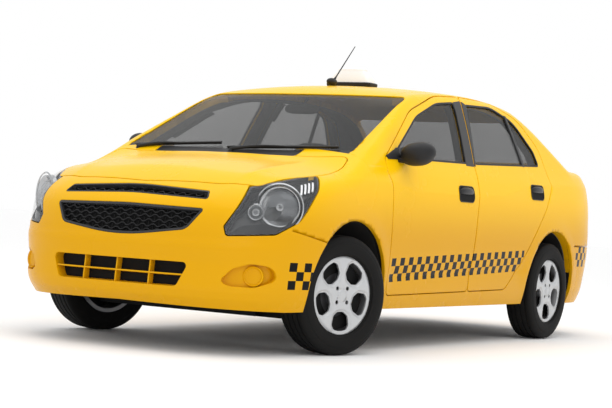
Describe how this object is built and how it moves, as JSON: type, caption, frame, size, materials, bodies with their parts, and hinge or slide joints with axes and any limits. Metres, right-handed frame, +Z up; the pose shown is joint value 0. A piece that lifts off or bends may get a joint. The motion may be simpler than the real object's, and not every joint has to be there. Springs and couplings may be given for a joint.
{
  "type": "four-door saloon taxi cab",
  "caption": "Yellow four-door saloon taxi cab with a black and yellow check band, roof sign, opening doors, bonnet and boot, steering and rolling wheels.",
  "frame": {"origin": "on the ground under the middle of the car's overall box", "axes": "+Z up, the car's front faces -Y, the car's left is +X"},
  "size_m": [2.01, 4.48, 1.7482],
  "materials": {
    "body_paint": "gloss",
    "underbody_paint": "matt",
    "black_plastic": "satin",
    "trim_plastic": "matt",
    "clear_lens": "gloss",
    "red_lens": "gloss",
    "tinted_glass": "gloss",
    "seat_fabric": "matt",
    "steel": "satin",
    "engine_iron": "matt",
    "white_plastic": "gloss",
    "wheel_silver": "gloss",
    "tyre_rubber": "matt"
  },
  "bodies": {
    "chassis": {"underbody": "underbody_paint", "body_side_left": "body_paint", "body_side_right": "body_paint", "roof_panel": "body_paint", "rear_shelf": "body_paint", "scuttle_panel": "black_plastic", "front_wing_left": "body_paint", "front_wing_right": "body_paint", "front_bumper": "body_paint", "rear_bumper": "body_paint", "front_grilles": "black_plastic", "headlamps": "clear_lens", "tail_lamps": "red_lens", "windscreen": "tinted_glass", "rear_window": "tinted_glass", "dashboard": "trim_plastic", "steering_wheel": "trim_plastic", "front_seats": "seat_fabric", "rear_seat": "seat_fabric", "front_subframe": "steel", "rear_axle_beam": "steel", "engine_block": "engine_iron", "exhaust": "steel", "fuel_tank": "black_plastic", "roof_sign": "white_plastic", "antenna": "black_plastic", "wipers": "black_plastic", "number_plates": "white_plastic"},
    "bonnet": {"bonnet": "body_paint"},
    "boot_lid": {"boot_lid": "body_paint"},
    "door_front_left": {"door_front_left": "body_paint", "window_front_left": "tinted_glass", "mirror_left": "black_plastic"},
    "door_rear_left": {"door_rear_left": "body_paint", "window_rear_left": "tinted_glass"},
    "door_front_right": {"door_front_right": "body_paint", "window_front_right": "tinted_glass", "mirror_right": "black_plastic"},
    "door_rear_right": {"door_rear_right": "body_paint", "window_rear_right": "tinted_glass"},
    "knuckle_left": {"knuckle_left": "steel"},
    "wheel_front_left": {"wheel_front_left": "wheel_silver", "tyre_front_left": "tyre_rubber"},
    "wheel_rear_left": {"wheel_rear_left": "wheel_silver", "tyre_rear_left": "tyre_rubber"},
    "knuckle_right": {"knuckle_right": "steel"},
    "wheel_front_right": {"wheel_front_right": "wheel_silver", "tyre_front_right": "tyre_rubber"},
    "wheel_rear_right": {"wheel_rear_right": "wheel_silver", "tyre_rear_right": "tyre_rubber"}
  },
  "joints": [
    {"name": "door_front_left_hinge", "type": "hinge", "parent": "chassis", "child": "door_front_left", "pos_m": [0.868, -1.0245, 0.6], "axis": [0, 0, -1], "range_deg": [0, 65]},
    {"name": "door_rear_left_hinge", "type": "hinge", "parent": "chassis", "child": "door_rear_left", "pos_m": [0.868, 0.0365, 0.6], "axis": [0, 0, -1], "range_deg": [0, 65]},
    {"name": "door_front_right_hinge", "type": "hinge", "parent": "chassis", "child": "door_front_right", "pos_m": [-0.868, -1.0245, 0.6], "axis": [0, 0, 1], "range_deg": [0, 65]},
    {"name": "door_rear_right_hinge", "type": "hinge", "parent": "chassis", "child": "door_rear_right", "pos_m": [-0.868, 0.0365, 0.6], "axis": [0, 0, 1], "range_deg": [0, 65]},
    {"name": "bonnet_hinge", "type": "hinge", "parent": "chassis", "child": "bonnet", "pos_m": [0, -1.235, 1.075], "axis": [-1, 0, 0], "range_deg": [0, 50]},
    {"name": "boot_lid_hinge", "type": "hinge", "parent": "chassis", "child": "boot_lid", "pos_m": [0, 1.686, 1.145], "axis": [1, 0, 0], "range_deg": [0, 75]},
    {"name": "steer_left", "type": "hinge", "parent": "chassis", "child": "knuckle_left", "pos_m": [0.7, -1.38, 0.3], "axis": [0, 0, 1], "range_deg": [-20, 52]},
    {"name": "roll_front_left", "type": "hinge", "parent": "knuckle_left", "child": "wheel_front_left", "pos_m": [0.76248, -1.39792, 0.308], "axis": [0.9613, -0.2756, 0], "continuous": true},
    {"name": "roll_rear_left", "type": "hinge", "parent": "chassis", "child": "wheel_rear_left", "pos_m": [0.765, 1.24, 0.308], "axis": [1, 0, 0], "continuous": true},
    {"name": "steer_right", "type": "hinge", "parent": "chassis", "child": "knuckle_right", "pos_m": [-0.7, -1.38, 0.3], "axis": [0, 0, 1], "range_deg": [-20, 52]},
    {"name": "roll_front_right", "type": "hinge", "parent": "knuckle_right", "child": "wheel_front_right", "pos_m": [-0.76248, -1.36208, 0.308], "axis": [0.9613, -0.2756, 0], "continuous": true},
    {"name": "roll_rear_right", "type": "hinge", "parent": "chassis", "child": "wheel_rear_right", "pos_m": [-0.765, 1.24, 0.308], "axis": [1, 0, 0], "continuous": true}
  ],
  "couplings": [
    {"joint": "steer_right", "follows": "steer_left", "ratio": 1}
  ]
}
